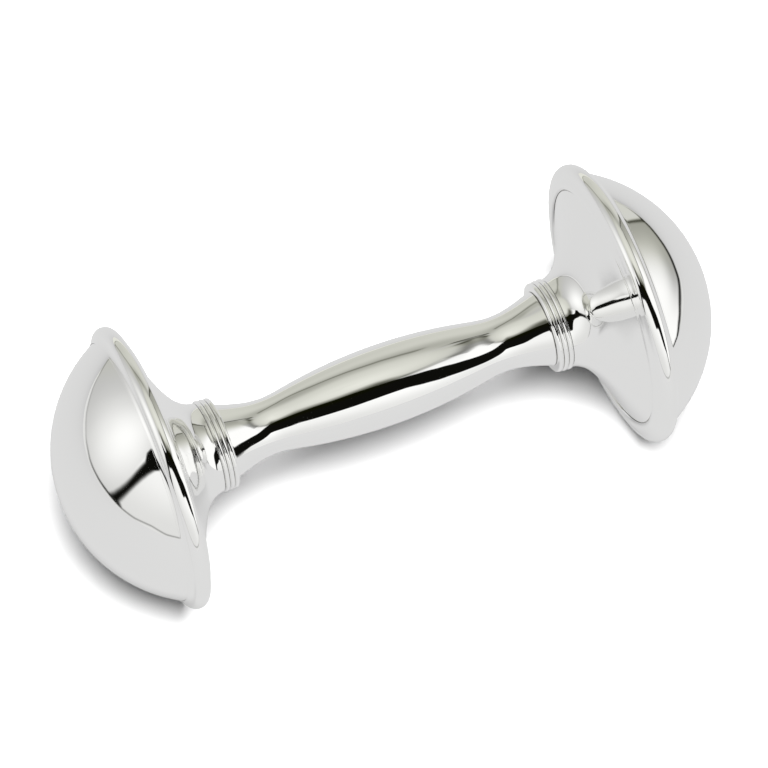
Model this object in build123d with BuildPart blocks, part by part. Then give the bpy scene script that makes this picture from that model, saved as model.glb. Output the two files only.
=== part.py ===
"""A dumbbell baby rattle: a hollow baluster handle between two hollow mushroom heads.

The long axis runs along X, and the rattle lies on its two rims. The origin is on the
surface under the middle of the handle, with +Z up. Each head is a spherical dome and a
trumpet-shaped bell, with a rolled rim ring round their seam. A reeded collar covers the
joint between head and handle, and a turned plug closes the chamber. Loose balls in each
chamber make the sound.
"""

from build123d import *
import os
from math import acos, cos, degrees, radians, sin, sqrt

# Driving dimensions, in millimetres. X is the distance from the middle of the handle,
# and every radius is measured from the long axis.
rim_radius = 25.0
wall = 0.5
handle_wall = 0.6
solder_gap = 0.03

# Handle
handle_mid_radius = 6.95
shoulder = (16.0, 5.52)
waist = (21.0, 4.86)
handle_end_radius = 6.65
spigot_radius = 6.1
bore_end_x = 27.6

# Reeded collar
reed_heights = (0.28, 0.38, 0.42)
reed_pitch = 0.9
reed_base_radius = 7.7

# Bell
neck_x = 31.9
neck_radius = 7.85
neck_bend = (34.45, 9.0)
throat = (36.35, 11.4)
crease = (40.65, 20.95)
flare_angle = 65.8

# Seam of the two shells, which is also the plane of the flanges
seam_x = 42.4
flange_radius = 24.25

# Dome: a cap of a sphere whose centre lies on the long axis
dome_centre_x = 32.6
dome_radius = 25.8

# Rolled rim ring
hem_edge = (40.3, 21.3)
hem_crest = (40.17, 21.85)
hem_slope = (40.55, 23.0)
hem_outer = (40.9, 24.05)
band_start = (41.03, 24.3)
band_crest_x = 42.34
band_end = (43.7, 24.25)
cove_middle = (44.0, 23.5)
cove_end = (44.62, 23.0)

# Neck plug
plug_disc_radius = 7.2
plug_disc_thickness = 0.8
plug_spigot_length = 3.6

# Pellets: each one rolls round the dome's inner wall in its own lane
pellet_radius = 2.0
pellet_gap = 0.2
pellet_lanes = (-9.0, -4.5, 0.0, 4.5, 9.0)

# Derived places
axis_height = rim_radius
apex_x = dome_centre_x + dome_radius
collar_end_x = neck_x - solder_gap
collar_start_x = collar_end_x - len(reed_heights) * reed_pitch
handle_end_x = collar_start_x - solder_gap
spigot_bore = spigot_radius - handle_wall
plug_spigot_radius = spigot_bore - solder_gap
flange_back = seam_x - wall
dome_seat = seam_x + solder_gap
dome_front = seam_x + solder_gap + wall
ring_back = flange_back - solder_gap
ring_front = dome_front + solder_gap
inner_radius = dome_radius - wall
seat_radius = dome_radius + solder_gap
flare_slope = (cos(radians(flare_angle)), sin(radians(flare_angle)))

long_axis = Axis(origin=(0, 0, axis_height), direction=(1, 0, 0))
# Sections are drawn with x along the rattle and y as the radius.
section_plane = Plane(origin=(0, 0, axis_height), x_dir=(1, 0, 0), z_dir=(0, -1, 0))


def edge_angle(radius, x):
    """Angle from the long axis to the place x on a sphere about the dome's centre."""
    return degrees(acos((x - dome_centre_x) / radius))


def sphere_arc(radius, angle_from, angle_to):
    """Arc of a sphere's outline about the dome's centre; angle 0 is the apex."""
    return CenterArc((dome_centre_x, 0), radius, angle_from, angle_to - angle_from)


def on_flare(x, clearance=0.0):
    """Point at x on the bell's straight outer flare, moved out by a clearance."""
    along = (x - crease[0] + clearance * flare_slope[1]) / flare_slope[0]
    return (x, crease[1] + along * flare_slope[1] + clearance * flare_slope[0])


def baluster(end_x, end_radius, depth):
    """The handle's outline, or its bore's when depth is the wall, from end to end."""
    right = [(x, radius - depth) for x, radius in (shoulder, waist)] + [(end_x, end_radius)]
    left = [(-x, radius) for x, radius in reversed(right)]
    return Spline(*left, (0, handle_mid_radius - depth), *right)


def moved_in(line, place, distance):
    """Point at a place from 0 to 1 on an outline, moved to its inner side."""
    heading = line % place
    return line @ place + Vector(heading.Y, -heading.X) * distance


# Handle: one hollow tube, waisted near each end, with a plain spigot under each collar
with BuildPart() as handle_tube:
    with BuildSketch(section_plane):
        with BuildLine():
            outline = baluster(handle_end_x, handle_end_radius, 0)
            bore = baluster(bore_end_x, spigot_bore, handle_wall)
            for end, side in ((0, -1), (1, 1)):
                Polyline(
                    outline @ end,
                    (side * handle_end_x, spigot_radius),
                    (side * collar_end_x, spigot_radius),
                    (side * collar_end_x, spigot_bore),
                    bore @ end,
                )
        make_face()
    revolve(axis=long_axis)

# Collar: three reeds on a plain ring, the lowest one next to the handle
with BuildPart() as right_collar:
    with BuildSketch(section_plane):
        with BuildLine():
            bore_radius = spigot_radius + solder_gap
            Polyline(
                (collar_start_x, reed_base_radius),
                (collar_start_x, bore_radius),
                (collar_end_x, bore_radius),
                (collar_end_x, reed_base_radius),
            )
            for reed, reed_height in enumerate(reed_heights):
                reed_start = collar_start_x + reed * reed_pitch
                ThreePointArc(
                    (reed_start, reed_base_radius),
                    (reed_start + reed_pitch / 2, reed_base_radius + reed_height),
                    (reed_start + reed_pitch, reed_base_radius),
                )
        make_face()
    revolve(axis=long_axis)

# Bell: a thin trumpet from a flat base at the neck to a flat flange at the seam
with BuildPart() as right_bell:
    with BuildSketch(section_plane):
        with BuildLine():
            flare = Spline(
                (neck_x, neck_radius),
                neck_bend,
                throat,
                crease,
                tangents=[(1.0, 0.08), flare_slope],
            )
            lining = Spline([moved_in(flare, place, wall) for place in (0, 0.25, 0.5, 0.75, 1)])
            Polyline(
                lining @ 0,
                (neck_x + wall, neck_radius - wall),
                (neck_x + wall, plug_spigot_radius + solder_gap),
                (neck_x, plug_spigot_radius + solder_gap),
                flare @ 0,
            )
            Polyline(
                flare @ 1,
                on_flare(flange_back),
                (flange_back, flange_radius),
                (seam_x, flange_radius),
                on_flare(seam_x, -wall),
                lining @ 1,
            )
        make_face()
    revolve(axis=long_axis)

# Dome: a spherical cap with a narrow flange that meets the bell's
with BuildPart() as right_dome:
    with BuildSketch(section_plane):
        with BuildLine():
            outside = sphere_arc(dome_radius, 0, edge_angle(dome_radius, dome_front))
            inside = sphere_arc(inner_radius, edge_angle(inner_radius, dome_seat), 0)
            Polyline(
                outside @ 1,
                (dome_front, flange_radius),
                (dome_seat, flange_radius),
                inside @ 0,
            )
            Line(inside @ 1, outside @ 0)
        make_face()
    revolve(axis=long_axis)

# Rim ring: a half-round band whose hem is rolled down onto the bell
with BuildPart() as right_rim_ring:
    with BuildSketch(section_plane):
        with BuildLine():
            hem_foot = on_flare(crease[0], solder_gap)
            groove_radius = flange_radius + solder_gap
            seat = sphere_arc(
                seat_radius,
                edge_angle(seat_radius, ring_front),
                edge_angle(seat_radius, cove_end[0]),
            )
            Polyline(
                hem_foot,
                on_flare(ring_back, solder_gap),
                (ring_back, groove_radius),
                (ring_front, groove_radius),
                seat @ 0,
            )
            Line(seat @ 1, cove_end)
            ThreePointArc(cove_end, cove_middle, band_end)
            ThreePointArc(band_end, (band_crest_x, rim_radius), band_start)
            Line(band_start, hem_outer)
            Spline(hem_outer, hem_slope, hem_crest, hem_edge, hem_foot)
        make_face()
    revolve(axis=long_axis)

# Neck plug: a disc in the bell's neck with a solid spigot down into the handle
with BuildPart() as right_neck_plug:
    disc_start = neck_x + wall + solder_gap
    with BuildSketch(section_plane):
        with BuildLine():
            Polyline(
                (disc_start - wall - plug_spigot_length, 0),
                (disc_start - wall - plug_spigot_length, plug_spigot_radius),
                (disc_start, plug_spigot_radius),
                (disc_start, plug_disc_radius),
                (disc_start + plug_disc_thickness, plug_disc_radius),
                (disc_start + plug_disc_thickness, 0),
                close=True,
            )
        make_face()
    revolve(axis=long_axis)

pieces = {"handle_tube": handle_tube.part}
for name, right_piece in (
    ("collar", right_collar),
    ("bell", right_bell),
    ("dome", right_dome),
    ("rim_ring", right_rim_ring),
    ("neck_plug", right_neck_plug),
):
    pieces[f"right_{name}"] = right_piece.part
    pieces[f"left_{name}"] = mirror(right_piece.part, about=Plane.YZ)

# Pellets rest at the bottom of each chamber, where the dome's wall meets the bell's.
# A resting centre is the place on the flare, moved in by the reach below, that also lies
# on the sphere on which a ball rolls round the dome.
orbit_radius = inner_radius - pellet_gap - pellet_radius
reach = wall + pellet_gap + pellet_radius
start_x = crease[0] + reach * flare_slope[1] - dome_centre_x
start_radius = crease[1] - reach * flare_slope[0]
half_b = start_x * flare_slope[0] + start_radius * flare_slope[1]
along_flare = sqrt(half_b**2 - start_x**2 - start_radius**2 + orbit_radius**2) - half_b
rest_x = dome_centre_x + start_x + along_flare * flare_slope[0]
rest_radius = start_radius + along_flare * flare_slope[1]
print(f"pellets rest at x {rest_x:.3f}, radius {rest_radius:.3f}, orbit {orbit_radius:.3f}")
for side, direction in (("left", -1), ("right", 1)):
    for number, lane in enumerate(pellet_lanes, start=1):
        below_axis = sqrt(rest_radius**2 - lane**2)
        with BuildPart() as pellet:
            with Locations((direction * rest_x, lane, axis_height - below_axis)):
                Sphere(pellet_radius)
        pieces[f"{side}_pellet_{number}"] = pellet.part

os.makedirs("parts", exist_ok=True)
for name, solid in pieces.items():
    solid.label = name
    export_step(solid, f"parts/{name}.step")
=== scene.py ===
"""Looks for the silver dumbbell baby rattle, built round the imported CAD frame.

Every turned silver shell is rebuilt as a dense lathe mesh with softened edges. The
sections repeat the dimensions of the CAD source. The balls and the plugs stay CAD nodes
and only get materials.
"""

import math

import bpy
import numpy as np
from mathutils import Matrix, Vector


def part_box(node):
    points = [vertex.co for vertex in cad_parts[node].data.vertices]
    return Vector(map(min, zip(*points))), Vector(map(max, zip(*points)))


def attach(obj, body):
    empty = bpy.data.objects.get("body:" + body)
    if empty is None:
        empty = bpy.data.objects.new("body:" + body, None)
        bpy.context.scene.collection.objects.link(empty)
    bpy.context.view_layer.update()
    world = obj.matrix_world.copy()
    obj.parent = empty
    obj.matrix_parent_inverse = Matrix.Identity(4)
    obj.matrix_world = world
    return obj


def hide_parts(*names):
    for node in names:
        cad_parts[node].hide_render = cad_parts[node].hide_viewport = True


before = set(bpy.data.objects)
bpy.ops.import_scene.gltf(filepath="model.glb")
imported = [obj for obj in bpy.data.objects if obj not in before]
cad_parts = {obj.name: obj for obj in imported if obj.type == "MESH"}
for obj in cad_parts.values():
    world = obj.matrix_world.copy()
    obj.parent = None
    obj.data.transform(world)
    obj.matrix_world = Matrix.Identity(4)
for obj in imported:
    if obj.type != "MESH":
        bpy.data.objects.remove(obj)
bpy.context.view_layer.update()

MM = 0.001
TINY = 1e-6
SCENE = bpy.context.scene

# ---------------------------------------------------------------------------------------
# Dimensions of the real object, in millimetres: x from the middle of the handle, and
# every radius from the long axis. They are the CAD source's own.
# ---------------------------------------------------------------------------------------
RIM_RADIUS = 25.0
WALL = 0.5
HANDLE_WALL = 0.6
GAP = 0.03

HANDLE_MID_RADIUS = 6.95
SHOULDER = (16.0, 5.52)
WAIST = (21.0, 4.86)
HANDLE_END_RADIUS = 6.65
SPIGOT_RADIUS = 6.1
BORE_END_X = 27.6

REED_HEIGHTS = (0.28, 0.38, 0.42)
REED_PITCH = 0.9
REED_BASE_RADIUS = 7.7

NECK_X = 31.9
NECK_RADIUS = 7.85
NECK_DIRECTION = (1.0, 0.08)
NECK_BEND = (34.45, 9.0)
THROAT = (36.35, 11.4)
CREASE = (40.65, 20.95)
FLARE_ANGLE = math.radians(65.8)

SEAM_X = 42.4
FLANGE_RADIUS = 24.25

DOME_CENTRE_X = 32.6
DOME_RADIUS = 25.8

HEM_EDGE = (40.3, 21.3)
HEM_CREST = (40.17, 21.85)
HEM_SLOPE = (40.55, 23.0)
HEM_OUTER = (40.9, 24.05)
BAND_START = (41.03, 24.3)
BAND_CREST_X = 42.34
BAND_END = (43.7, 24.25)
COVE_MIDDLE = (44.0, 23.5)
COVE_END = (44.62, 23.0)

COLLAR_END_X = NECK_X - GAP
COLLAR_START_X = COLLAR_END_X - len(REED_HEIGHTS) * REED_PITCH
HANDLE_END_X = COLLAR_START_X - GAP
REED_STARTS = [COLLAR_START_X + k * REED_PITCH for k in range(len(REED_HEIGHTS))]
SPIGOT_BORE = SPIGOT_RADIUS - HANDLE_WALL
PLUG_SPIGOT_RADIUS = SPIGOT_BORE - GAP
FLANGE_BACK = SEAM_X - WALL
DOME_SEAT = SEAM_X + GAP
DOME_FRONT = SEAM_X + GAP + WALL
RING_BACK = FLANGE_BACK - GAP
RING_FRONT = DOME_FRONT + GAP
FLARE_SLOPE = np.array([math.cos(FLARE_ANGLE), math.sin(FLARE_ANGLE)])

# Lines where two turned pieces or two reeds meet, where shade is painted into the silver's colour
SEAM_LINES = [
    (HANDLE_END_X, HANDLE_END_RADIUS),
    *[(start, REED_BASE_RADIUS) for start in REED_STARTS[1:]],
    (COLLAR_END_X, REED_BASE_RADIUS),
    CREASE,
]
SEAM_REACH = 0.22

handle_low, handle_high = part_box("handle_tube")
AXIS_HEIGHT = (handle_low.z + handle_high.z) / 2


# ---------------------------------------------------------------------------------------
# Outlines: each is an array of (x, radius) points, in millimetres
# ---------------------------------------------------------------------------------------
def curve(points, count, start=None, end=None):
    """Cubic spline through the points, with optional directions at its ends."""
    p = np.array(points, float)
    n = len(p)
    chord = np.linalg.norm(np.diff(p, axis=0), axis=1)
    knots = np.concatenate([[0], np.cumsum(chord)])
    # The tangents at the points solve a @ tangents = b
    a = np.zeros((n, n))
    b = np.zeros((n, 2))
    for i in range(1, n - 1):
        h0, h1 = chord[i - 1], chord[i]
        a[i, i - 1 : i + 2] = 1 / h0, 2 / h0 + 2 / h1, 1 / h1
        b[i] = 3 * ((p[i] - p[i - 1]) / h0**2 + (p[i + 1] - p[i]) / h1**2)
    for row, near, direction in ((0, 1, start), (n - 1, n - 2, end)):
        if direction is None:
            first, second = sorted((row, near))
            a[row, [row, near]] = 2, 1
            b[row] = 3 * (p[second] - p[first]) / chord[first]
        else:
            a[row, row] = 1
            b[row] = np.array(direction, float) / np.linalg.norm(direction)
    tangents = np.linalg.solve(a, b)
    places = np.linspace(0, knots[-1], count)
    k = np.clip(np.searchsorted(knots, places, side="right") - 1, 0, n - 2)
    h = chord[k][:, None]
    u = (places - knots[k])[:, None] / h
    return (
        (2 * u**3 - 3 * u**2 + 1) * p[k]
        + (u**3 - 2 * u**2 + u) * h * tangents[k]
        + (3 * u**2 - 2 * u**3) * p[k + 1]
        + (u**3 - u**2) * h * tangents[k + 1]
    )


def arc3(a, b, c, count):
    """Circular arc from a through b to c."""
    a, b, c = (complex(*q) for q in (a, b, c))
    w = (c - a) / (b - a)
    centre = (b - a) * (w - abs(w) ** 2) / (w - w.conjugate()) + a
    radius = abs(a - centre)
    angle = [math.atan2((q - centre).imag, (q - centre).real) for q in (a, b, c)]
    turn = 2 * math.pi
    sweep = (angle[2] - angle[0]) % turn
    if (angle[1] - angle[0]) % turn > sweep:
        sweep -= turn
    t = angle[0] + sweep * np.linspace(0, 1, count)
    return np.stack([centre.real + radius * np.cos(t), centre.imag + radius * np.sin(t)], 1)


def sphere(radius, x_from, x_to, count):
    """Outline of a sphere about the dome's centre, between two places along the axis."""
    angles = [math.acos(min(1, (x - DOME_CENTRE_X) / radius)) for x in (x_from, x_to)]
    t = np.linspace(angles[0], angles[1], count)
    return np.stack([DOME_CENTRE_X + radius * np.cos(t), radius * np.sin(t)], 1)


def on_flare(x, clearance=0.0):
    """Point at x on the bell's straight outer flare, moved out by a clearance."""
    along = (x - CREASE[0] + clearance * FLARE_SLOPE[1]) / FLARE_SLOPE[0]
    return (x, CREASE[1] + along * FLARE_SLOPE[1] + clearance * FLARE_SLOPE[0])


def moved_in(line, distance):
    """The line moved to its right-hand side by a distance."""
    heading = np.gradient(line, axis=0)
    heading /= np.linalg.norm(heading, axis=1)[:, None]
    return line + distance * np.stack([heading[:, 1], -heading[:, 0]], 1)


SHARP_CORNER = math.radians(20)
FILLET_POINTS = 6
# The most of a neighbouring edge that a fillet may take
EDGE_SHARE = 0.45


def softened(outline, fillet):
    """The closed outline, with each of its sharp corners rounded by a small fillet."""
    keep = np.linalg.norm(outline - np.roll(outline, 1, 0), axis=1) > TINY
    p = outline[keep]
    made = []
    for before, here, after in zip(np.roll(p, 1, 0), p, np.roll(p, -1, 0)):
        a, b = before - here, after - here
        la, lb = np.linalg.norm(a), np.linalg.norm(b)
        bend = math.pi - math.acos(np.clip(a @ b / la / lb, -1, 1))
        if bend < SHARP_CORNER or here[1] < TINY:
            made.append(here)
            continue
        cut = min(fillet * math.tan(bend / 2), EDGE_SHARE * la, EDGE_SHARE * lb, 2 * fillet)
        start, end = here + a / la * cut, here + b / lb * cut
        for t in np.linspace(0, 1, FILLET_POINTS):
            made.append((1 - t) ** 2 * start + 2 * t * (1 - t) * here + t**2 * end)
    return np.array(made)


# ---------------------------------------------------------------------------------------
# Lathe
# ---------------------------------------------------------------------------------------
SEGMENTS = 288
SHARP_EDGE = math.radians(35)

# How far along an outline its curvature is averaged, in millimetres
CURVATURE_REACH = 0.22
# The recess of a straight outline, and how much and how fast curvature changes it
FLAT_RECESS = 0.5
RECESS_SWING = 0.2
RECESS_GAIN = 0.55


def signed_area(outline):
    """Area of the closed outline, negative where it runs clockwise."""
    after = np.roll(outline, -1, 0)
    return (outline[:, 0] * after[:, 1] - after[:, 0] * outline[:, 1]).sum() / 2


def recess_along(outline):
    """A value at each point: above 0.5 in a groove, below it on a ridge, and 1 on a seam."""
    before = outline - np.roll(outline, 1, 0)
    after = np.roll(outline, -1, 0) - outline
    cross = before[:, 0] * after[:, 1] - before[:, 1] * after[:, 0]
    bend = -np.sign(signed_area(outline)) * np.arctan2(cross, (before * after).sum(1))
    share = (np.linalg.norm(before, axis=1) + np.linalg.norm(after, axis=1)) / 2
    place = np.cumsum(share)
    gap = np.abs(place[:, None] - place[None, :])
    gap = np.minimum(gap, place[-1] - gap)
    weight = np.exp(-((gap / CURVATURE_REACH) ** 2))
    curvature = (weight @ bend) / (weight @ share)
    recess = FLAT_RECESS + RECESS_SWING * np.tanh(curvature * RECESS_GAIN)
    for seam in SEAM_LINES:
        away = np.linalg.norm(outline - seam, axis=1)
        recess = np.maximum(recess, np.exp(-((away / SEAM_REACH) ** 2)))
    return recess


def lathe(name, outline, side):
    """Turns a closed outline about the long axis into a watertight shell.

    side is 1 for the right end and -1 for its mirror image. The point attribute recess
    shows the material where the grooves and seams are.
    """
    angles = np.arange(SEGMENTS) * (2 * math.pi / SEGMENTS)
    circle = list(zip(np.cos(angles), np.sin(angles)))
    verts, rings, recess = [], [], []
    for (x, r), value in zip(outline, recess_along(outline)):
        # A point on the axis becomes one vertex, and any other point a ring of them
        count = 1 if r < TINY else SEGMENTS
        rings.append([len(verts) + step % count for step in range(SEGMENTS)])
        verts += [
            (side * x * MM, r * c * MM, AXIS_HEIGHT + r * s * MM) for c, s in circle[:count]
        ]
        recess += [value] * count
    faces = []
    flip = (signed_area(outline) > 0) == (side > 0)
    for near, far in zip(rings, rings[1:] + rings[:1]):
        if near[0] == near[1] and far[0] == far[1]:
            continue
        for j in range(SEGMENTS):
            k = (j + 1) % SEGMENTS
            corners = list(dict.fromkeys([near[j], near[k], far[k], far[j]]))
            faces.append(corners[::-1] if flip else corners)
    mesh = bpy.data.meshes.new(name)
    mesh.from_pydata(verts, [], faces)
    layer = mesh.attributes.new("recess", "FLOAT", "POINT")
    layer.data.foreach_set("value", np.array(recess, np.float32))
    mesh.polygons.foreach_set("use_smooth", [True] * len(mesh.polygons))
    mesh.update()
    mesh.set_sharp_from_angle(angle=SHARP_EDGE)
    obj = bpy.data.objects.new(name, mesh)
    SCENE.collection.objects.link(obj)
    return obj


# ---------------------------------------------------------------------------------------
# Sections
# ---------------------------------------------------------------------------------------
def mirrored(points):
    return [(-x, r) for x, r in reversed(points)]


def handle_outline():
    right = [SHOULDER, WAIST, (HANDLE_END_X, HANDLE_END_RADIUS)]
    outside = curve(mirrored(right) + [(0, HANDLE_MID_RADIUS)] + right, count=181)
    inner = [(x, r - HANDLE_WALL) for x, r in (SHOULDER, WAIST)] + [(BORE_END_X, SPIGOT_BORE)]
    bore = curve(mirrored(inner) + [(0, HANDLE_MID_RADIUS - HANDLE_WALL)] + inner, count=61)
    right_end = [
        (HANDLE_END_X, SPIGOT_RADIUS),
        (COLLAR_END_X, SPIGOT_RADIUS),
        (COLLAR_END_X, SPIGOT_BORE),
    ]
    return np.concatenate([outside, right_end, bore[::-1], mirrored(right_end)])


def collar_outline():
    reeds = [
        arc3(
            (start, REED_BASE_RADIUS),
            (start + REED_PITCH / 2, REED_BASE_RADIUS + height),
            (start + REED_PITCH, REED_BASE_RADIUS),
            count=15,
        )
        for start, height in zip(REED_STARTS, REED_HEIGHTS)
    ]
    bore = SPIGOT_RADIUS + GAP
    return np.concatenate([*reeds, [(COLLAR_END_X, bore), (COLLAR_START_X, bore)]])


def bell_outline():
    stations = [(NECK_X, NECK_RADIUS), NECK_BEND, THROAT, CREASE]
    fine = curve(stations, count=1441, start=NECK_DIRECTION, end=FLARE_SLOPE)
    # Every sixteenth point is kept, and every fifth one among the last near_crease points
    near_crease = 160
    flare = np.concatenate([fine[:-near_crease:16], fine[-near_crease::5]])
    lining = moved_in(fine, WALL)[::-48]
    flange = [
        on_flare(FLANGE_BACK),
        (FLANGE_BACK, FLANGE_RADIUS),
        (SEAM_X, FLANGE_RADIUS),
        on_flare(SEAM_X, -WALL),
    ]
    base = [
        (NECK_X + WALL, NECK_RADIUS - WALL),
        (NECK_X + WALL, PLUG_SPIGOT_RADIUS + GAP),
        (NECK_X, PLUG_SPIGOT_RADIUS + GAP),
    ]
    return np.concatenate([flare, flange, lining, base])


def dome_outline():
    apex = DOME_CENTRE_X + DOME_RADIUS
    # The points lie closer together beside the rim ring
    near_ring = COVE_END[0] + 0.6
    cap = sphere(DOME_RADIUS, apex, near_ring, count=100)[:-1]
    edge = sphere(DOME_RADIUS, near_ring, DOME_FRONT, count=45)
    flange = [(DOME_FRONT, FLANGE_RADIUS), (DOME_SEAT, FLANGE_RADIUS)]
    lining = sphere(DOME_RADIUS - WALL, DOME_SEAT, apex - WALL, count=50)
    cap[0, 1] = lining[-1, 1] = 0
    return np.concatenate([cap, edge, flange, lining])


def rim_ring_outline():
    foot = on_flare(CREASE[0], GAP)
    groove = FLANGE_RADIUS + GAP
    return np.concatenate(
        [
            [foot, on_flare(RING_BACK, GAP), (RING_BACK, groove), (RING_FRONT, groove)],
            sphere(DOME_RADIUS + GAP, RING_FRONT, COVE_END[0], count=10),
            arc3(COVE_END, COVE_MIDDLE, BAND_END, count=16),
            arc3(BAND_END, (BAND_CREST_X, RIM_RADIUS), BAND_START, count=28),
            curve([HEM_OUTER, HEM_SLOPE, HEM_CREST, HEM_EDGE, foot], count=36)[:-1],
        ]
    )


# ---------------------------------------------------------------------------------------
# Materials
# ---------------------------------------------------------------------------------------
SILVER_TONE = (0.955, 0.955, 0.948)
# Painted shade: the dark tone that the grooves and seams are painted with
SEAM_SHADE_TONE = (0.22, 0.21, 0.19)


def start_metal(name, tone, roughness):
    """An opaque metal with constant tone and roughness, and its node tree."""
    mat = bpy.data.materials.new(name)
    mat.use_nodes = True
    tree = mat.node_tree
    shader = tree.nodes["Principled BSDF"]
    shader.inputs["Metallic"].default_value = 1.0
    shader.inputs["Base Color"].default_value = (*tone, 1)
    shader.inputs["Roughness"].default_value = roughness
    return mat, tree, shader


def add_noise(tree, vector, scale, detail):
    node = tree.nodes.new("ShaderNodeTexNoise")
    node.inputs["Scale"].default_value = scale
    node.inputs["Detail"].default_value = detail
    tree.links.new(vector, node.inputs["Vector"])
    return node.outputs["Fac"]


def add_range(tree, value, given, made):
    """The value, moved from the given range (low, high) to the made one."""
    node = tree.nodes.new("ShaderNodeMapRange")
    tree.links.new(value, node.inputs["Value"])
    for socket, number in zip(node.inputs[1:5], (*given, *made)):
        socket.default_value = number
    return node.outputs["Result"]


def add_maths(tree, operation, first, second):
    node = tree.nodes.new("ShaderNodeMath")
    node.operation = operation
    for socket, value in zip(node.inputs, (first, second)):
        if isinstance(value, (int, float)):
            socket.default_value = value
        else:
            tree.links.new(value, socket)
    return node.outputs["Value"]


def add_bump(tree, shader, height, strength, distance):
    node = tree.nodes.new("ShaderNodeBump")
    node.inputs["Strength"].default_value = strength
    node.inputs["Distance"].default_value = distance
    tree.links.new(height, node.inputs["Height"])
    tree.links.new(node.outputs["Normal"], shader.inputs["Normal"])


def object_place(tree):
    """Place on the piece, in metres."""
    return tree.nodes.new("ShaderNodeTexCoord").outputs["Object"]


def stretched(tree, vector, factors):
    node = tree.nodes.new("ShaderNodeVectorMath")
    node.operation = "MULTIPLY"
    node.inputs[1].default_value = factors
    tree.links.new(vector, node.inputs[0])
    return node.outputs["Vector"]


def mixed(tree, factor, first, second):
    node = tree.nodes.new("ShaderNodeMix")
    node.data_type = "RGBA"
    tree.links.new(factor, node.inputs["Factor"])
    node.inputs["A"].default_value = (*first, 1)
    node.inputs["B"].default_value = (*second, 1)
    return node.outputs["Result"]


def add_painted_seam_shade(tree, place):
    """How much painted shade darkens a place: 0 on open surfaces, and up to 1 in grooves and
    seams.
    """
    groove = tree.nodes.new("ShaderNodeAttribute")
    groove.attribute_name = "recess"
    depth = add_range(tree, groove.outputs["Fac"], given=(0.71, 0.97), made=(0.0, 1.0))
    patches = add_noise(tree, place, scale=420, detail=3.0)
    patchy = add_range(tree, patches, given=(0.3, 0.7), made=(0.45, 1.0))
    return add_maths(tree, "MULTIPLY", depth, patchy)


def silver_material():
    """Hand-polished silver: lathe lines, waves, faint handling haze, and painted shade in grooves
    and seams.
    """
    mat, tree, shader = start_metal("silver", SILVER_TONE, roughness=0.03)
    place = object_place(tree)
    haze = add_noise(tree, place, scale=55, detail=4.0)
    dull = add_range(tree, haze, given=(0.35, 0.75), made=(0.022, 0.055))
    scratches = add_noise(tree, stretched(tree, place, (300, 2600, 90)), scale=1.0, detail=1.0)
    fine = add_range(tree, scratches, given=(0.66, 0.74), made=(0.0, 0.035))
    # Painted shade darkens the colour in grooves and seams, and the same mask makes them rougher
    painted_seam_shade = add_painted_seam_shade(tree, place)
    tree.links.new(mixed(tree, painted_seam_shade, SILVER_TONE, SEAM_SHADE_TONE), shader.inputs["Base Color"])
    rougher_in_seams = add_maths(tree, "MULTIPLY", painted_seam_shade, 0.16)
    roughness = add_maths(tree, "ADD", add_maths(tree, "ADD", dull, fine), rougher_in_seams)
    tree.links.new(roughness, shader.inputs["Roughness"])
    # Hand-polished waves some millimetres wide, with the lathe lines on top of them
    waves = add_noise(tree, place, scale=150, detail=1.0)
    lines = add_noise(tree, stretched(tree, place, (4200, 60, 60)), scale=1.0, detail=2.0)
    height = add_maths(tree, "ADD", waves, add_maths(tree, "MULTIPLY", lines, 0.008))
    add_bump(tree, shader, height, strength=1.0, distance=0.00005)
    return mat


def satin_silver_material():
    """Unpolished silver, as left by the lathe: rings about the long axis."""
    mat, tree, shader = start_metal("silver_inside", (0.90, 0.89, 0.86), roughness=0.34)
    place = object_place(tree)
    cloud = add_noise(tree, place, scale=260, detail=3.0)
    cloud = add_range(tree, cloud, given=(0.3, 0.7), made=(0.0, 1.0))
    tone = mixed(tree, cloud, (0.91, 0.90, 0.87), (0.80, 0.78, 0.73))
    tree.links.new(tone, shader.inputs["Base Color"])
    rings = add_noise(tree, stretched(tree, place, (5200, 40, 40)), scale=1.0, detail=2.0)
    roughness = add_range(tree, rings, given=(0.3, 0.7), made=(0.26, 0.44))
    tree.links.new(roughness, shader.inputs["Roughness"])
    add_bump(tree, shader, rings, strength=0.3, distance=0.00001)
    return mat


def steel_material():
    """Tumbled steel balls: fine scuffs all over."""
    mat, tree, shader = start_metal("steel_ball", (0.60, 0.60, 0.61), roughness=0.2)
    place = object_place(tree)
    patches = add_noise(tree, place, scale=600, detail=2.0)
    tone = mixed(tree, patches, (0.64, 0.64, 0.65), (0.50, 0.50, 0.50))
    tree.links.new(tone, shader.inputs["Base Color"])
    scuffs = add_noise(tree, place, scale=2600, detail=4.0)
    roughness = add_range(tree, scuffs, given=(0.3, 0.7), made=(0.12, 0.3))
    tree.links.new(roughness, shader.inputs["Roughness"])
    add_bump(tree, shader, scuffs, strength=0.25, distance=0.00001)
    return mat


# ---------------------------------------------------------------------------------------
# Pieces
# ---------------------------------------------------------------------------------------
silver = silver_material()
satin_silver = satin_silver_material()
steel = steel_material()

# The CAD node, section, fillet in millimetres, and side of each turned silver piece
PIECES = {"silver_handle": ("handle_tube", handle_outline, 0.05, 1)}
for word, side in (("left", -1), ("right", 1)):
    PIECES[f"{word}_silver_collar"] = (f"{word}_collar", collar_outline, 0.05, side)
    PIECES[f"{word}_silver_bell"] = (f"{word}_bell", bell_outline, 0.05, side)
    PIECES[f"{word}_silver_dome"] = (f"{word}_dome", dome_outline, 0.02, side)
    PIECES[f"{word}_silver_rim_ring"] = (f"{word}_rim_ring", rim_ring_outline, 0.06, side)

for piece_name, (node, section, fillet, side) in PIECES.items():
    piece = lathe(piece_name, softened(section(), fillet), side)
    piece.data.materials.append(silver)
    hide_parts(node)
    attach(piece, "rattle_shell")

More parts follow.
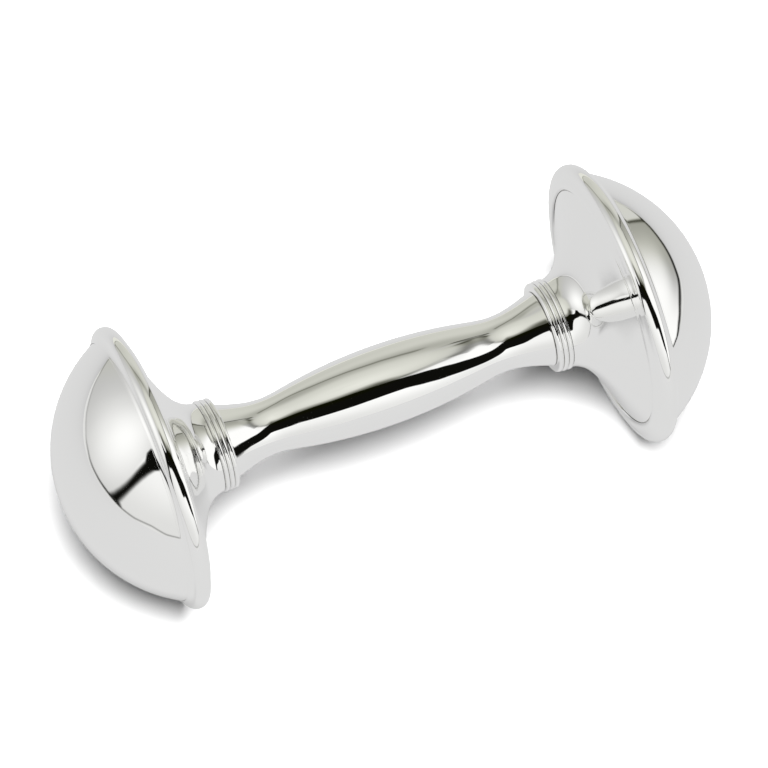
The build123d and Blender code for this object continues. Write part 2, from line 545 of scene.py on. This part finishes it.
for cad_name, cad_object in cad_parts.items():
    for word, material in (("pellet", steel), ("plug", satin_silver)):
        if word in cad_name:
            cad_object.data.materials.clear()
            cad_object.data.materials.append(material)


# ---------------------------------------------------------------------------------------
# Studio: a light tent that only the silver sees, a floor, a dim sky, and one soft lamp
# overhead. Directions from the tent's centre are an azimuth az and an elevation el, in
# degrees, with azimuth 0 in front, along -Y, and 90 along +X. Every brightness of the
# tent is a displayed one, from 0 to 255.
# ---------------------------------------------------------------------------------------
SCENE.view_settings.view_transform = "Standard"

TENT_CENTRE = np.array([0, 0, 0.03])
TENT_ROOF = 0.42
AZIMUTHS = np.linspace(-180, 180, 541)
ELEVATIONS = np.linspace(-45, 90, 451)

# How far away the tent's cloth is in metres, by azimuth: in front of the rattle it hangs
# back beyond the edge of the floor
CLOTH = [
    (-156, 1.09), (-130, 0.47), (-103, 0.333), (-84, 0.29), (-68, 0.26), (-50, 0.5),
    (-30, 0.6), (30, 0.6), (45, 0.5), (60, 0.35), (80, 0.28), (92, 0.30), (104, 0.46),
    (122, 0.90), (132, 1.49),
]  # fmt: skip

# Brightness of each cloth, and its soft patches: azimuth, elevation, width, height and
# change of brightness
BACK = (205, [(150, 48, 500, 13, -34), (-163, 40, 14, 12, -16), (-175, 12, 25, 14, -12)])
ROOF = (206, [(40, 86, 500, 12, 16), (50, 74, 60, 16, 8)])
LEFT = (186, [(-100, 28, 30, 32, 67)])
FRONT = (220, [(25, 16, 25, 40, 16)])
RIGHT = (252, [(92, 1, 14, 7, -55)])
FLOOR = 222
OPENING = 13

# The front cloth is this much brighter above, and the right cloth darker towards the back
FRONT_RISE = 22
RIGHT_FALL = 96

FRONT_PANEL = [(-81, -60), (-78, 60), (60, 60), (48, -60)]
RIGHT_PANEL = [
    (42, -60), (40, 42), (50, 49), (60, 52), (75, 54.5), (90, 53.5), (105, 50), (118, 46),
    (126, 42), (121.5, 20), (121, -60),
]  # fmt: skip

# The dark openings of the tent
CAMERA_OPENING = [
    (-76, 30), (-79.5, 36), (-79, 42), (-74, 44), (-68, 45), (-62, 49), (-58, 54),
    (-52, 60), (-45, 64), (-30, 66.5), (-15, 67.5), (0, 67), (8, 66), (18, 64), (26, 61),
    (31, 56), (35, 50), (37, 44), (40, 37), (44.5, 31), (47, 24), (46, 16), (44, 8),
    (42.5, 0), (42, -12), (38, -12), (38, 0), (36, 5), (31, 9), (26, 14), (22, 20),
    (19, 26), (17, 29), (10, 31), (0, 31), (-10, 31), (-14, 33), (-20, 38), (-28, 42),
    (-38, 44.5), (-48, 42.5), (-56, 38.5), (-62, 33), (-67, 29.5), (-71, 27),
]  # fmt: skip
LEFT_GAP = [
    (-85.5, -4), (-83, 0), (-81, 5), (-79.5, 10), (-78, 17), (-77, 24), (-76, 31),
    (-66.5, 30.5), (-70, 25), (-72.4, 20), (-74.3, 13), (-76, 8), (-77.8, 2), (-79, -2),
    (-77.5, -4),
]  # fmt: skip
# How dark the blur above the camera's opening is, beside 1 for the opening itself
BLUR = 0.62

# Sewn seams and folds: points, half-width in degrees, and darkness
SEAMS = [
    ([(122, -1), (121, 0), (121.5, 20), (124, 34), (127, 44), (131, 52)], 1.0, 0.60),
    ([(116, 56), (124, 50), (130, 52)], 2.2, 0.40),
    ([(34, 60), (45, 58.5), (60, 57.5), (75, 57.5), (90, 58), (118, 55)], 2.6, 0.30),
    ([(-163, 0), (-163, 20), (-168, 34), (-176, 42), (-190, 47), (-210, 50)], 2.4, 0.28),
]

# Where the floor meets the cloth: azimuth, elevation and darkness of the join
HORIZON = [
    (-190, 0, 0.1), (-163, 0, 0.35), (-157, -1.5, 0.3), (-150, -0.5, 0.15),
    (-120, -1.5, 0.12), (-107, -3.3, 0.35), (-95, -3.8, 0.6), (-86, -4, 0.85),
    (-80, -4.2, 0.97), (-76, -5, 0.4), (-65, -6, 0.3), (-57, -7, 0.3), (-47, -10, 0.3),
    (-30, -11.5, 0.25), (30, -11, 0.22), (45, -10.5, 0.25), (60, -10, 0.5),
    (66, -9.3, 0.85), (72, -6, 0.85), (80, -3.5, 0.85), (90, -3, 0.9), (100, -2.5, 0.9),
    (110, -1.5, 0.8), (121.5, -1, 0.6), (130, -0.5, 0.1),
]  # fmt: skip

# What is added to the brightness of red, green and blue: everywhere, and where the cloth
# is warm
PLAIN_TINT = np.array([0, 0, -1.5])
WARM_TINT = np.array([0, 0.5, -7])
DISPLAY_GAMMA = 2.2
# Share of the tent's light that the silver throws back
REFLECTANCE = 0.93

# Outline of the floor that the silver sees, in metres, from the back left round the
# front, and the place that its sheet fans out from
WALL_LINE = [
    (-0.44, 1.0), (-0.36, 0.3), (-0.325, 0.074), (-0.29, -0.03), (-0.22, -0.10),
    (-0.12, -0.14), (0.0, -0.155), (0.10, -0.14), (0.18, -0.10), (0.25, -0.05),
    (0.30, 0.01), (0.45, 0.11), (0.76, 0.48), (1.1, 1.0),
]  # fmt: skip
SHEET_HUB = np.array([0, 0.3, 0])
SHEET_SHADE = 0.13
SHEET_GLOW = 0.44

FLOOR_RADIUS = 0.5
FLOOR_DROP = 0.00005
FLOOR_SHADE = 0.95

SKY_LIGHT = 0.16
BACKDROP_LIGHT = 1.0
LAMP_PLACE = (-0.04, -0.27, 0.94)
LAMP_WIDTH = 0.6
LAMP_WATTS = 23


def rises(value, low, high):
    """0 up to the low value and 1 from the high one, with a smooth change between them."""
    t = np.clip((value - low) / (high - low), 0, 1)
    return t * t * (3 - 2 * t)


def falls(value, low, high):
    return 1 - rises(value, low, high)


def turned_from(az, other):
    """Turn from another azimuth, from -180 to 180."""
    return (az - other + 180) % 360 - 180


def from_line(az, el, line):
    """Distance in degrees to a chain of points."""
    best = np.full(az.shape, np.inf)
    for (x0, y0), (x1, y1) in zip(line[:-1], line[1:]):
        dx, dy = x1 - x0, y1 - y0
        for wrap in (0, -360, 360):
            px, py = az + wrap - x0, el - y0
            t = np.clip((px * dx + py * dy) / (dx * dx + dy * dy), 0, 1)
            best = np.minimum(best, np.hypot(px - t * dx, py - t * dy))
    return best


def inside(az, el, corners, soft):
    """1 inside the outline and 0 outside it, with a soft edge that many degrees wide."""
    hit = np.zeros(az.shape, bool)
    loop = corners + corners[:1]
    for (x0, y0), (x1, y1) in zip(loop[:-1], loop[1:]):
        if y0 == y1:
            continue
        crosses = (el > min(y0, y1)) & (el <= max(y0, y1))
        hit ^= crosses & (az < x0 + (el - y0) * (x1 - x0) / (y1 - y0))
    distance = from_line(az, el, loop) * np.where(hit, 1, -1)
    return rises(distance, -soft / 2, soft / 2)


def patched(az, el, brightness, patches):
    """Brightness of one cloth with its soft patches."""
    total = np.full(az.shape, float(brightness))
    for patch_az, patch_el, wide, high, change in patches:
        away = (turned_from(az, patch_az) / wide) ** 2 + ((el - patch_el) / high) ** 2
        total += change * np.exp(-away)
    return total


def covered(under, over, share):
    """Brightness where the one over covers that share of the one under it."""
    return under + (over - under) * share


def cloth_light(az, el):
    """Brightness of the tent's five cloths and of the seams between them."""
    light = patched(az, el, *BACK)
    light = covered(light, patched(az, el, *ROOF), rises(el, 56, 72))
    on_left = rises(az, -166, -158) * (az < 0) * falls(el, 50, 64)
    light = covered(light, patched(az, el, *LEFT), on_left)
    front = patched(az, el, *FRONT) + FRONT_RISE * rises(el, -4, 30)
    light = covered(light, front, inside(az, el, FRONT_PANEL, soft=2))
    right = patched(az, el, *RIGHT) - RIGHT_FALL * rises(az, 78, 123)
    light = covered(light, right, inside(az, el, RIGHT_PANEL, soft=3))
    for line, half_width, darkness in SEAMS:
        away = from_line(az, el, line) / half_width
        light = light * (1 - darkness * np.exp(-(away**2)))
    return light


def openness(az, el):
    """1 in the tent's dark openings, 0 on its cloth, and between them where it is blurred."""
    opening = inside(az, el, CAMERA_OPENING, soft=1.6)
    opening = np.maximum(opening, inside(az, el, LEFT_GAP, soft=3.6))
    # The upper rim of the camera's opening is out of focus
    blur = BLUR * rises(el, 50, 60) * falls(el, 64, 77) * rises(az, -88, -60) * falls(az, 20, 42)
    return np.maximum(opening, blur)


def tent_light(az, el):
    """Brightness of everything that the silver sees round it, down to the floor."""
    light = covered(cloth_light(az, el), OPENING, openness(az, el))
    join_az, join_el, join_darkness = np.array(HORIZON).T
    level = np.interp(az, join_az, join_el, period=360)
    darkness = np.interp(az, join_az, join_darkness, period=360)
    light = covered(light, FLOOR, rises(level - el, 0, 0.8))
    # The join is widest at the front of the right panel
    join_width = 0.7 + 0.5 * rises(az, 55, 65) * falls(az, 120, 125)
    return light * (1 - darkness * np.exp(-(((el - level) / join_width) ** 2)))


def warmth(az, el):
    """1 where the cloth is warm: at the back, on the roof and far back on the right."""
    back = falls(np.abs(turned_from(az, 165)), 28, 55)
    roof = rises(el, 52, 66)
    right = rises(az, 84, 108) * falls(az, 122, 126) * rises(el, -3, 0)
    return np.maximum(np.maximum(back, roof), right)


def to_light(brightness):
    """Linear light of a displayed brightness, by the sRGB curve."""
    c = np.clip(brightness / 255, 0, 1.2)
    return np.where(c <= 0.04045, c / 12.92, ((c + 0.055) / 1.055) ** 2.4)


def outward(az, el):
    """Unit vector in a direction."""
    az, el = np.radians(az), np.radians(el)
    return np.stack([np.sin(az) * np.cos(el), -np.cos(az) * np.cos(el), np.sin(el)], -1)


def tent_points(az, el):
    """Where the directions from the tent's centre meet its walls or its roof."""
    cloth_az, cloth_away = np.array(CLOTH).T
    level = np.interp(az, cloth_az, cloth_away, period=360)
    to_wall = level / np.maximum(np.cos(np.radians(el)), TINY)
    to_roof = TENT_ROOF / np.maximum(np.sin(np.radians(el)), TINY)
    return outward(az, el) * np.minimum(to_wall, to_roof)[..., None] + TENT_CENTRE


def grid_mesh(name, points, colours=None):
    """A sheet of quads through a grid of points, with an optional colour at each point."""
    rows, columns = points.shape[:2]
    mesh = bpy.data.meshes.new(name)
    index = np.arange(rows * columns).reshape(rows, columns)
    quads = np.stack([index[:-1, :-1], index[:-1, 1:], index[1:, 1:], index[1:, :-1]], -1)
    quads = quads.reshape(-1, 4)
    mesh.vertices.add(rows * columns)
    mesh.vertices.foreach_set("co", points.reshape(-1).astype(np.float32))
    mesh.loops.add(quads.size)
    mesh.loops.foreach_set("vertex_index", quads.reshape(-1).astype(np.int32))
    mesh.polygons.add(len(quads))
    mesh.polygons.foreach_set("loop_start", np.arange(0, quads.size, 4, dtype=np.int32))
    mesh.update(calc_edges=True)
    if colours is not None:
        layer = mesh.attributes.new("light", "FLOAT_COLOR", "POINT")
        rgba = np.hstack([colours.reshape(-1, 3), np.ones((rows * columns, 1))])
        layer.data.foreach_set("color", rgba.reshape(-1).astype(np.float32))
    obj = bpy.data.objects.new(name, mesh)
    SCENE.collection.objects.link(obj)
    return obj


def seen_only_in_silver(obj):
    obj.visible_camera = False
    obj.visible_diffuse = False
    obj.visible_shadow = False


def only_straight_off_silver(tree, strength):
    """The glow's strength where silver shows it, and none where silver throws it on the floor."""
    path = tree.nodes.new("ShaderNodeLightPath")
    return add_range(tree, path.outputs["Diffuse Depth"], given=(0.0, 1.0), made=(strength, 0.0))


def cloth_material():
    """Cloth that glows with the light stored at its points."""
    mat = bpy.data.materials.new("tent_cloth")
    mat.use_nodes = True
    tree = mat.node_tree
    tree.nodes.clear()
    light = tree.nodes.new("ShaderNodeAttribute")
    light.attribute_name = "light"
    glow = tree.nodes.new("ShaderNodeEmission")
    out = tree.nodes.new("ShaderNodeOutputMaterial")
    tree.links.new(light.outputs["Color"], glow.inputs["Color"])
    tree.links.new(only_straight_off_silver(tree, 1.0), glow.inputs["Strength"])
    tree.links.new(glow.outputs["Emission"], out.inputs["Surface"])
    mat.cycles.emission_sampling = "NONE"
    return mat


def plain_material(name, shade, glow=0.0):
    """Matt grey, with an optional even glow that the silver shows."""
    mat = bpy.data.materials.new(name)
    mat.use_nodes = True
    tree = mat.node_tree
    shader = tree.nodes["Principled BSDF"]
    shader.inputs["Base Color"].default_value = (shade, shade, shade, 1)
    shader.inputs["Roughness"].default_value = 1.0
    shader.inputs["Specular IOR Level"].default_value = 0.0
    shader.inputs["Emission Color"].default_value = (1, 1, 1, 1)
    tree.links.new(only_straight_off_silver(tree, glow), shader.inputs["Emission Strength"])
    return mat


def make_tent():
    az, el = np.meshgrid(AZIMUTHS, ELEVATIONS)
    brightness = tent_light(az, el)[..., None]
    tinted = brightness + PLAIN_TINT + WARM_TINT * warmth(az, el)[..., None]
    light = to_light(brightness) * (tinted / brightness) ** DISPLAY_GAMMA
    tent = grid_mesh("tent", tent_points(az, el), light / REFLECTANCE)
    tent.data.materials.append(cloth_material())
    seen_only_in_silver(tent)


def make_floor():
    """The round floor that the camera sees and that takes the shadow."""
    turn = np.radians(np.linspace(0, 360, 97))
    edge = FLOOR_RADIUS * np.stack([np.cos(turn), np.sin(turn), 0 * turn], 1)
    floor = grid_mesh("floor", np.stack([0 * edge, edge]) - [0, 0, FLOOR_DROP])
    floor.data.materials.append(plain_material("floor", FLOOR_SHADE))
    floor.visible_glossy = False


def make_tent_floor():
    """The sheet that the silver sees as the floor, which ends at the walls."""
    edge = np.array([(x, y, 0.0) for x, y in reversed(WALL_LINE)])
    sheet = grid_mesh("tent_floor", np.stack([edge, 0 * edge + SHEET_HUB]))
    sheet.data.materials.append(plain_material("tent_floor", SHEET_SHADE, SHEET_GLOW))
    seen_only_in_silver(sheet)


def make_world():
    """A dim sky that lights the floor, and a white backdrop that only the camera sees."""
    world = bpy.data.worlds.new("world")
    SCENE.world = world
    world.use_nodes = True
    tree = world.node_tree
    background = tree.nodes["Background"]
    background.inputs["Color"].default_value = (1, 1, 1, 1)
    seen = tree.nodes.new("ShaderNodeLightPath").outputs["Is Camera Ray"]
    strength = add_range(tree, seen, given=(0.0, 1.0), made=(SKY_LIGHT, BACKDROP_LIGHT))
    tree.links.new(strength, background.inputs["Strength"])


def make_lamp():
    """A round lamp above the rattle, aimed at the middle of the floor."""
    lamp_data = bpy.data.lights.new("lamp", "AREA")
    lamp_data.shape = "DISK"
    lamp_data.size = LAMP_WIDTH
    lamp_data.energy = LAMP_WATTS
    lamp = bpy.data.objects.new("lamp", lamp_data)
    SCENE.collection.objects.link(lamp)
    lamp.location = LAMP_PLACE
    lamp.rotation_mode = "QUATERNION"
    lamp.rotation_quaternion = (-lamp.location).to_track_quat("-Z", "Y")
    lamp.visible_glossy = False
    lamp.visible_camera = False


make_tent()
make_floor()
make_tent_floor()
make_world()
make_lamp()

# ---------------------------------------------------------------------------------------
# Camera: a long lens, in millimetres. The rattle's right end points away from it by
# AXIS_AWAY and rises across the picture by AXIS_RISE. The camera looks along the line to
# the handle's middle from DISTANCE metres away, then moves a little right and up.
# ---------------------------------------------------------------------------------------
AXIS_AWAY = math.radians(11.5)
AXIS_RISE = math.radians(19.6)
DISTANCE = 0.93031
MOVED_RIGHT = 0.000127
MOVED_UP = 0.000161

azimuth = -math.acos(math.cos(AXIS_AWAY) * math.cos(AXIS_RISE))
elevation = math.acos(math.sin(AXIS_AWAY) / abs(math.sin(azimuth)))
to_camera = Vector(outward(math.degrees(azimuth), math.degrees(elevation)))

cam_data = bpy.data.cameras.new("camera")
cam_data.sensor_width = 36
cam_data.lens = 257.8125
cam_data.clip_start = 0.05
cam_data.clip_end = 20
camera = bpy.data.objects.new("camera", cam_data)
SCENE.collection.objects.link(camera)
camera.rotation_mode = "QUATERNION"
camera.rotation_quaternion = (-to_camera).to_track_quat("-Z", "Y")
turned = camera.rotation_quaternion.to_matrix()
handle_middle = Vector((0, 0, AXIS_HEIGHT))
aside = turned.col[0] * MOVED_RIGHT + turned.col[1] * MOVED_UP
camera.location = handle_middle + to_camera * DISTANCE + aside
SCENE.camera = camera
